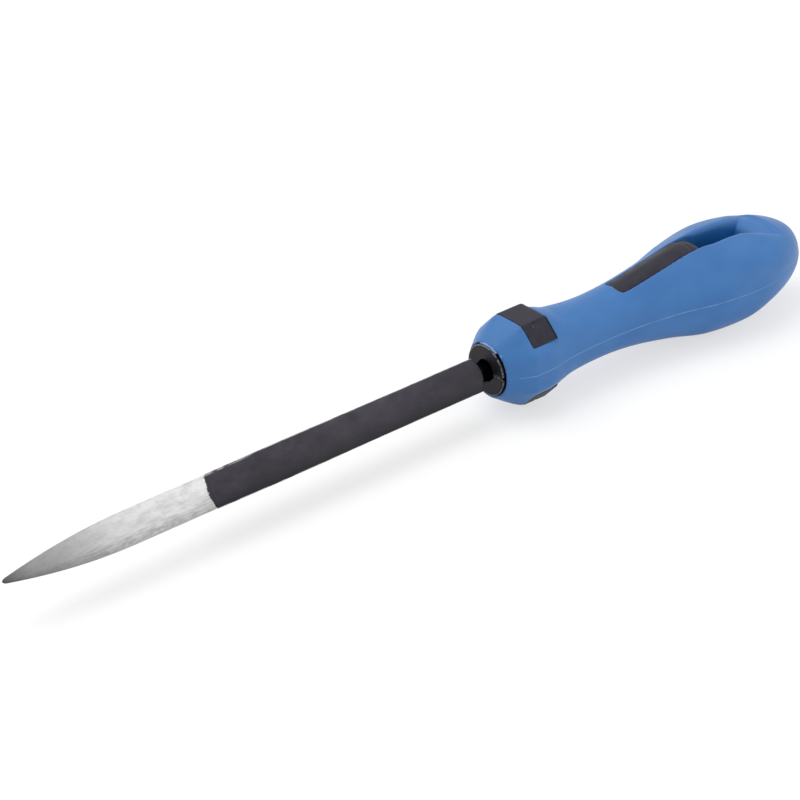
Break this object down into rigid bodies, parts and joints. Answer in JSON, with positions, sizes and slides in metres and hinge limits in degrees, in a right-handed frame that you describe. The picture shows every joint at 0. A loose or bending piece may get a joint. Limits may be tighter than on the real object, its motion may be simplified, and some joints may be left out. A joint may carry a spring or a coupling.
{
  "type": "triangular scraper",
  "caption": "Three-edged hand scraper: black forged shank with a bright ground leaf point, driven into a two-component handle with roll-stop pads, a label panel and a hang loop.",
  "frame": {"origin": "midway along the tool, on its centre plane, at the level of the lowest point of the palm swell", "axes": "+X from the point towards the hang loop, +Z towards the label panel, Y across the tool"},
  "size_m": [0.341, 0.0442, 0.0338],
  "materials": {
    "blade_steel": "black forging skin on the shank, bright cross-ground point",
    "collet_plastic": "matt, scuffed rim",
    "core_plastic": "matt, fine moulded texture",
    "grip_rubber": "satin, soft to the touch"
  },
  "bodies": {
    "root": {"blade": "blade_steel", "tang_collet": "collet_plastic", "handle_core": "core_plastic", "soft_grip": "grip_rubber"}
  },
  "joints": []
}
